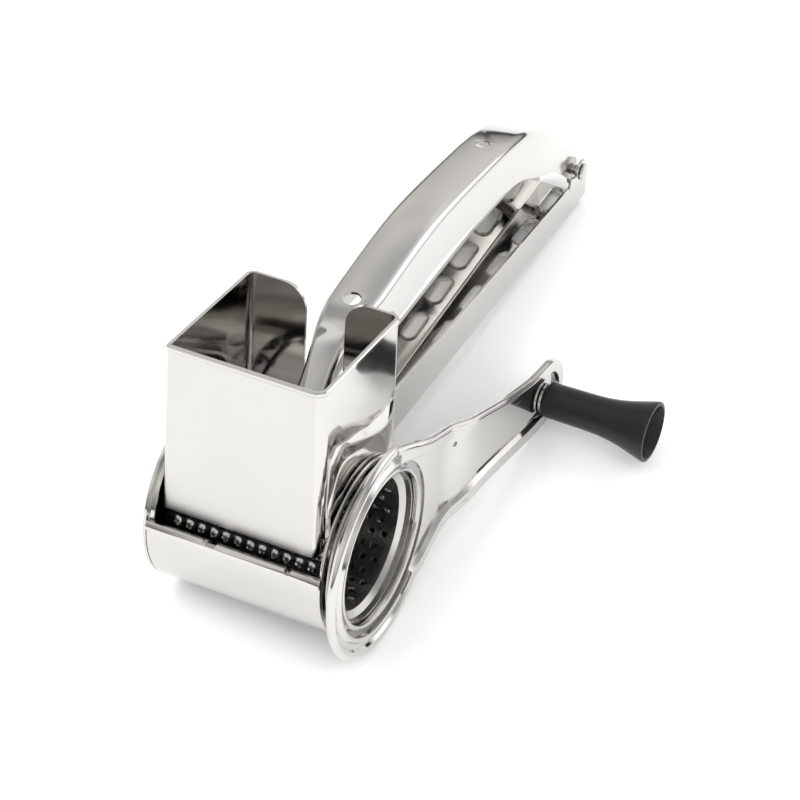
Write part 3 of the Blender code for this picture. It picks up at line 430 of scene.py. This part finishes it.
def add_bead(name, points, radius, closed, body, made, steps=4):
    """A round bead that follows points given in the grater's axes."""
    data = bpy.data.curves.new(name, "CURVE")
    data.dimensions = "3D"
    data.bevel_depth = radius
    data.bevel_resolution = steps
    data.use_fill_caps = not closed
    spline = data.splines.new("POLY")
    spline.points.add(len(points) - 1)
    for place, point in zip(spline.points, points):
        place.co = (*(GRATER @ Vector(point)), 1)
    spline.use_cyclic_u = closed
    curve = link_object(name + "_line", data)
    graph = bpy.context.evaluated_depsgraph_get()
    mesh = bpy.data.meshes.new_from_object(curve.evaluated_get(graph))
    bpy.data.objects.remove(curve)
    mesh.name = name
    mesh.shade_smooth()
    return finish_piece(name, mesh, body, made)


def on_drum(x, angle, radius):
    return (x, radius * math.cos(angle), radius * math.sin(angle))


def turned(outline, steps, closed=True):
    """Points and faces of an outline of (x, radius) turned round the drum's axis."""
    points, faces = [], []
    count = len(outline)
    for i in range(steps):
        angle = math.tau * i / steps
        points += [on_drum(x, angle, r) for x, r in outline]
    for i in range(steps):
        a, b = i * count, (i + 1) % steps * count
        for j in range(count if closed else count - 1):
            k = (j + 1) % count
            faces.append((a + j, a + k, b + k, b + j))
    return points, faces


def join(points, faces, more_points, more_faces):
    """Adds points and faces that count from their own start."""
    first = len(points)
    points += more_points
    faces += [tuple(first + i for i in face) for face in more_faces]


def corrugated(start, pitch, beads, base, rise):
    """An outline of round beads side by side."""
    outline = [(start, base)]
    for i in range(beads):
        centre = start + pitch * (i + 0.5)
        for step in range(9):
            angle = math.pi * (1 - step / 8)
            outline.append((centre + pitch * 0.46 * math.cos(angle), base + rise * math.sin(angle)))
    outline.append((start + pitch * beads, base))
    return outline


def collar_outline():
    crest = corrugated(COLLAR_START, COLLAR_PITCH, 1, COLLAR_BASE, COLLAR_RISE)
    return [(COLLAR_START, COLLAR_BORE)] + crest + [(crest[-1][0], COLLAR_BORE)]


def flange_outline():
    """Two beads, then a narrower neck that reaches the crank's ring."""
    crest = corrugated(FLANGE_START, FLANGE_PITCH, 2, FLANGE_BASE, FLANGE_RISE)
    neck = [(crest[-1][0], FLANGE_BORE + 0.6 * MM), (FLANGE_END, FLANGE_BORE + 0.4 * MM)]
    return [(FLANGE_START, FLANGE_BORE)] + crest + neck + [(FLANGE_END, FLANGE_BORE)]


def square_edge():
    """Points round a square of half side 1, four to a side."""
    corners = [(-1, -1), (1, -1), (1, 1), (-1, 1)]
    edge = []
    for k in range(HOLE_POINTS):
        a, b = corners[k // 4], corners[(k // 4 + 1) % 4]
        share = k % 4 / 4
        edge.append((a[0] + (b[0] - a[0]) * share, a[1] + (b[1] - a[1]) * share))
    return edge


def hole_tile(centre, middle, row, column):
    """One punched hole in its square of sheet, with a ragged burr that stands out."""
    # Each level: reach in hole radii or 0 for the square's edge, lift in burr heights, crowned, base radius.
    levels = (
        (0, 0, False, GRATING_OUTER),
        (1.9, 0.06, False, GRATING_OUTER),
        (1.35, 0.5, False, GRATING_OUTER),
        (1.12, 1, True, GRATING_OUTER),
        (0.92, 0.9, True, GRATING_OUTER),
        (0.98, 0.1, False, GRATING_OUTER),
        (1.25, 0, False, GRATING_INNER),
        (0, 0, False, GRATING_INNER),
    )
    half_across = math.tau / HOLE_ROWS * GRATING_OUTER / 2
    points, faces = [], []
    for reach, lift, crowned, base in levels:
        for u, v in square_edge():
            angle = math.atan2(v, u)
            ragged = 1 + 0.08 * math.sin(angle * 3 + row * 1.7 + column * 2.3)
            if reach:
                x = HOLE_RADIUS * reach * ragged * math.cos(angle)
                y = HOLE_RADIUS * reach * ragged * math.sin(angle)
            else:
                x, y = u * HOLE_PITCH / 2, v * half_across
            crown = 0.72 + 0.28 * math.sin(4 * angle + row + column * 1.3) if crowned else 1
            points.append(on_drum(centre + x, middle + y / GRATING_OUTER, base + BURR * lift * crown))
    for level in range(len(levels) - 1):
        a = level * HOLE_POINTS
        for k in range(HOLE_POINTS):
            j = (k + 1) % HOLE_POINTS
            faces.append((a + k, a + j, a + HOLE_POINTS + j, a + HOLE_POINTS + k))
    return points, faces


def plain_half_tile(start, row, base):
    """The half tile that squares off a row of holes."""
    points, faces = [], []
    for step in range(5):
        angle = math.tau / HOLE_ROWS * (row + step / 4)
        points += [on_drum(start, angle, base), on_drum(start + HOLE_PITCH / 2, angle, base)]
    for a in range(0, 8, 2):
        faces.append((a, a + 1, a + 3, a + 2))
    return points, faces


def mouth_outline(end):
    """The sheet past the last hole: out along the neck, over the flare under the mouth's bead, and back."""
    neck = CRADLE_RIGHT + 0.4 * MM
    rim = MOUTH_FACE - 1.3 * MM
    return [
        (end, GRATING_OUTER),
        (neck, GRATING_OUTER),
        (neck + 0.4 * MM, GRATING_OUTER + 0.2 * MM),
        (neck + 1.4 * MM, DRUM_RADIUS + 1.3 * MM),
        (rim, DRUM_RADIUS + 1.5 * MM),
        (rim, DRUM_RADIUS + 0.9 * MM),
        (neck + 1.5 * MM, DRUM_RADIUS + 0.7 * MM),
        (neck + 0.4 * MM, GRATING_INNER + 0.1 * MM),
        (end, GRATING_INNER),
    ]


def drum_sheet():
    """The grating sheet: staggered rows of punched holes between a plain left edge and a plain mouth."""
    neck = CRADLE_RIGHT + 0.4 * MM
    columns = int((neck - DRUM_START - 0.5 * HOLE_PITCH) / HOLE_PITCH)
    points, faces = [], []
    for row in range(HOLE_ROWS):
        shifted = row % 2
        middle = math.tau / HOLE_ROWS * (row + 0.5)
        for column in range(columns):
            centre = DRUM_START + HOLE_PITCH * (column + 0.5) + HOLE_PITCH / 2 * shifted
            join(points, faces, *hole_tile(centre, middle, row, column))
        gap = DRUM_START if shifted else DRUM_START + HOLE_PITCH * columns
        for base in (GRATING_OUTER, GRATING_INNER):
            join(points, faces, *plain_half_tile(gap, row, base))
    steps = HOLE_ROWS * 4
    mouth = mouth_outline(DRUM_START + HOLE_PITCH * (columns + 0.5))
    join(points, faces, *turned(mouth, steps, closed=False))
    left_edge = [(DRUM_START, GRATING_INNER), (DRUM_START, GRATING_OUTER)]
    join(points, faces, *turned(left_edge, steps, closed=False))
    return points, faces


def smooth_line(points, per_span):
    """A smooth curve through 2-D points."""
    line = [Vector(p) for p in points]
    line = [2 * line[0] - line[1]] + line + [2 * line[-1] - line[-2]]
    made = []
    for i in range(1, len(line) - 2):
        a, b, c, d = line[i - 1 : i + 3]
        for step in range(per_span):
            t = step / per_span
            square = 2 * a - 5 * b + 4 * c - d
            cube = 3 * b - a - 3 * c + d
            made.append(0.5 * (2 * b + (c - a) * t + square * t**2 + cube * t**3))
    made.append(line[-2])
    return made


def arm_offset(a):
    """How far the arm stands out in X at one distance from the drum's axis: a step, then a gentle slope."""
    step = min(max((a - JOGGLE_START) / (JOGGLE_END - JOGGLE_START), 0), 1)
    slope = min(max((a - JOGGLE_END) / (SLOPE_END - JOGGLE_END), 0), 1)
    return CRANK_STEP * step * step * (3 - 2 * step) + (CRANK_OFFSET - CRANK_STEP) * slope


def arm_rim():
    """The rolled rim's line: out of the ring along the arm's upper edge, round its tip and back below."""
    length, above, below = CRANK_LENGTH / MM, TIP_ABOVE / MM, TIP_BELOW / MM
    tip = [(length, above)]
    for step in range(1, 8):
        angle = math.pi * (0.5 - step / 8)
        height = above if angle > 0 else below
        tip.append((length + above * math.cos(angle), height * math.sin(angle)))
    tip.append((length, -below))
    c, s = math.cos(CRANK_ANGLE), math.sin(CRANK_ANGLE)
    made = []
    for a, b in smooth_line(ARM_UPPER_EDGE + tip + ARM_LOWER_EDGE, 3):
        a, b = a * MM, b * MM
        x = RING_BACK + arm_offset(a) + RIM_TOP - RIM_BEAD
        made.append((x, a * c - b * s, a * s + b * c))
    return made


def slot_line(index):
    """The rolled edge of one slot in the lower handle's floor."""
    middle = SLOT_FIRST + SLOT_PITCH * index
    reach, half = (SLOT_LENGTH - SLOT_WIDTH) / 2, SLOT_WIDTH / 2 + SLOT_BEAD_OUT
    points = []
    for side in (1, -1):
        for step in range(9):
            angle = math.pi * step / 8
            x = LOWER_OFFSET + side * half * math.cos(angle)
            y = middle + side * (reach + half * math.sin(angle))
            floor = LOWER_FLOOR_START + (LOWER_FLOOR_END - LOWER_FLOOR_START) * y / HINGE_Y
            points.append((x, y, floor + SHEET + SLOT_BEAD_UP))
    return points


# ---------------------------------------------------------------- the scene

bpy.context.scene.view_settings.view_transform = "Standard"
add_world()
add_floor()
add_camera()
add_area_light("key", (-0.5, -0.6, 1.2), (1.2, 1.0), 11)
add_area_light("fill", (0.9, -0.3, 0.9), (1.0, 1.0), 6)
add_area_light("back", (-0.2, 1.0, 1.0), (1.4, 0.8), 6)

polished = steel_material("polished_steel_look", (0.66, 0.65, 0.63), 0.05, 0.07, 0.06, 0.0006)
hopper_look = steel_material("hopper_steel_look", (0.68, 0.67, 0.65), 0.05, 0.07, 0.06, 0.0006, satin=True)
drum_look = steel_material("drum_steel_look", (0.60, 0.59, 0.57), 0.14, 0.12, 0.05, 0.001, edge=0.08)
rivet_look = steel_material("rivet_steel_look", (0.62, 0.61, 0.60), 0.16, 0.10, 0.02, 0.001)
LOOKS = {
    "polished_steel": polished,
    "drum_steel": drum_look,
    "rivet_steel": rivet_look,
    "black_knob": knob_material(),
}

smoothing = smooth_group()
slots = {s["node"]: s["material_slot"] for s in frame["record"]["subparts"]}
for node, obj in frame["nodes"].items():
    obj.data.materials.clear()
    obj.data.materials.append(hopper_look if node == "hopper" else LOOKS[slots[node]])
    shading = obj.modifiers.new("smooth", "NODES")
    shading.node_group = smoothing

drum = add_piece("drum_grating", *drum_sheet(), "crank", drum_look, "drum_steel")
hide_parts("drum_tube")
ridges = turned(collar_outline(), RING_STEPS)
collar = add_piece("collar_ridge", *ridges, "body", polished, "polished_steel")
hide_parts("bearing_collar")
ridges = turned(flange_outline(), RING_STEPS)
flange = add_piece("flange_ridges", *ridges, "crank", polished, "polished_steel")
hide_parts("drum_flange")

add_bead("arm_rim", arm_rim(), RIM_BEAD, False, "crank", polished)
for i in range(SLOT_COUNT):
    add_bead(f"slot_rim_{i + 1}", slot_line(i), SLOT_BEAD, True, "body", polished, 2)
